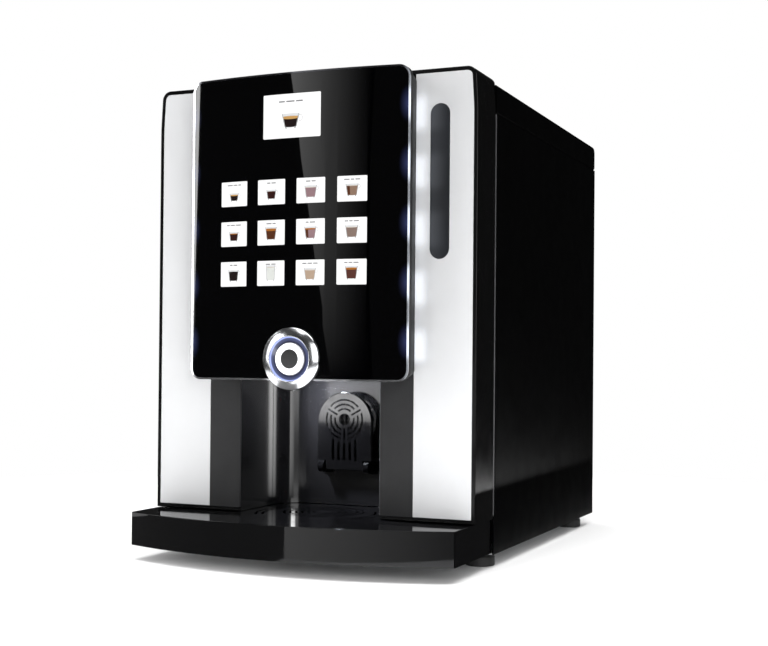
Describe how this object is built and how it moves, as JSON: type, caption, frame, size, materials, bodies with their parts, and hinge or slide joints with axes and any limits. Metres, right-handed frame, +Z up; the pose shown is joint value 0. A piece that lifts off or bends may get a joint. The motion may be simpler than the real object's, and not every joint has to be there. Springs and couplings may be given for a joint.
{
  "type": "hot coffee vending machine",
  "caption": "Table-top hot coffee vending machine: black cabinet, hinged door with bowed touch panel, push button, cup bay with fold-down shelf, drip tray base.",
  "frame": {"origin": "on the table, under the middle of the machine's overall box", "axes": "+X to the machine's right as its user sees it, +Y from the user to the back, +Z up"},
  "size_m": [0.41, 0.6, 0.56],
  "materials": {
    "black_steel": "black powder coat, semi-gloss",
    "zinc_steel": "zinc-plated sheet",
    "charcoal_plastic": "fine-grained charcoal moulding",
    "light_panel": "satin light grey",
    "black_gloss": "piano-black gloss",
    "black_glass": "back-painted black glass",
    "chrome": "polished",
    "stainless": "satin stainless",
    "key_window": "back-lit white",
    "screen": "colour display",
    "smoked_window": "smoked grey",
    "light_guide": "lit blue-white",
    "button_face": "white ring with a dark centre",
    "foot_rubber": "matt",
    "float_red": "satin",
    "hopper_clear": "smoked clear",
    "white_plastic": "food-grade moulding",
    "black_plastic": "moulded",
    "boiler_foam": "insulation jacket",
    "aluminium": "cast",
    "circuit_green": "solder mask",
    "silicone_hose": "translucent",
    "motor_body": "semi-gloss"
  },
  "bodies": {
    "cabinet": {"chassis_base": "zinc_steel", "left_side_panel": "black_steel", "right_side_panel": "black_steel", "rear_panel": "black_steel", "levelling_feet": "foot_rubber", "bulkhead": "zinc_steel", "canister_deck": "zinc_steel", "cabinet_hinge_leaf": "stainless", "hinge_pin": "stainless", "base_housing": "black_gloss", "inlet_valve": "black_plastic", "mains_inlet": "black_plastic", "boiler": "boiler_foam", "water_pump": "motor_body", "power_supply": "aluminium", "control_board": "circuit_green", "water_hoses": "silicone_hose", "milk_canister": "white_plastic", "chocolate_canister": "white_plastic", "bean_hopper": "hopper_clear", "grinder_body": "aluminium", "brewer_frame": "black_plastic", "brewer_motor": "motor_body", "waste_bin": "black_plastic", "mixing_bowls": "white_plastic", "dosing_motors": "motor_body", "cabinet_screws": "stainless"},
    "lid": {"top_lid": "black_steel"},
    "tray": {"drip_tray": "black_plastic", "drip_grille": "black_gloss"},
    "float": {"tray_float": "float_red"},
    "shutter": {"hopper_shutter": "white_plastic"},
    "burr": {"grinder_burr": "stainless"},
    "piston": {"brew_piston": "stainless"},
    "milk_auger_body": {"milk_auger": "stainless"},
    "chocolate_auger_body": {"chocolate_auger": "stainless"},
    "milk_whipper_body": {"milk_whipper": "white_plastic"},
    "chocolate_whipper_body": {"chocolate_whipper": "white_plastic"},
    "door": {"door_frame": "charcoal_plastic", "left_light_panel": "light_panel", "right_light_panel": "light_panel", "payment_cover": "smoked_window", "bay_columns": "charcoal_plastic", "bay_liner": "black_gloss", "coffee_spout": "black_gloss", "door_inner_cover": "zinc_steel", "door_hinge_leaf": "stainless", "display_housing": "black_gloss", "display_bezel": "chrome", "display_glass": "black_glass", "drink_keys": "key_window", "screen_module": "screen", "button_bezel": "chrome", "button_light_ring": "light_guide", "button_spring": "stainless", "shelf_brackets": "black_plastic", "door_lock": "stainless"},
    "button": {"start_button": "button_face"},
    "shelf": {"cup_shelf": "black_gloss"},
    "hook": {"lock_hook": "stainless"}
  },
  "joints": [
    {"name": "door_swing", "type": "hinge", "parent": "cabinet", "child": "door", "pos_m": [0.2025, -0.14425, 0.3], "axis": [0, 0, 1], "range_deg": [0, 100]},
    {"name": "lid_lift", "type": "hinge", "parent": "cabinet", "child": "lid", "pos_m": [0, 0.296, 0.522], "axis": [-1, 0, 0], "range_deg": [0, 75]},
    {"name": "tray_lift", "type": "slide", "parent": "cabinet", "child": "tray", "axis": [0, 0, 1], "range_m": [0, 0.04]},
    {"name": "float_rise", "type": "slide", "parent": "tray", "child": "float", "axis": [0, 0, 1], "range_m": [0, 0.008]},
    {"name": "shutter_pull", "type": "slide", "parent": "cabinet", "child": "shutter", "axis": [0, -1, 0], "range_m": [0, 0.045]},
    {"name": "burr_spin", "type": "hinge", "parent": "cabinet", "child": "burr", "pos_m": [0.1, -0.02, 0.33], "axis": [0, 0, 1], "continuous": true},
    {"name": "piston_press", "type": "slide", "parent": "cabinet", "child": "piston", "axis": [0, 0, 1], "range_m": [0, 0.03]},
    {"name": "milk_auger_spin", "type": "hinge", "parent": "cabinet", "child": "milk_auger_body", "pos_m": [-0.148, 0, 0.393], "axis": [0, 1, 0], "continuous": true},
    {"name": "chocolate_auger_spin", "type": "hinge", "parent": "cabinet", "child": "chocolate_auger_body", "pos_m": [-0.05, 0, 0.393], "axis": [0, 1, 0], "continuous": true},
    {"name": "milk_whipper_spin", "type": "hinge", "parent": "cabinet", "child": "milk_whipper_body", "pos_m": [-0.148, 0, 0.292], "axis": [0, 1, 0], "continuous": true},
    {"name": "chocolate_whipper_spin", "type": "hinge", "parent": "cabinet", "child": "chocolate_whipper_body", "pos_m": [-0.05, 0, 0.292], "axis": [0, 1, 0], "continuous": true},
    {"name": "start_press", "type": "slide", "parent": "door", "child": "button", "axis": [0, 1, 0], "range_m": [0, 0.002], "stiffness_N_per_m": 300},
    {"name": "shelf_fold", "type": "hinge", "parent": "door", "child": "shelf", "pos_m": [0, -0.1095, 0.105], "axis": [1, 0, 0], "range_deg": [0, 90]},
    {"name": "lock_turn", "type": "hinge", "parent": "door", "child": "hook", "pos_m": [-0.2, -0.168, 0.3], "axis": [-1, 0, 0], "range_deg": [0, 60]}
  ]
}
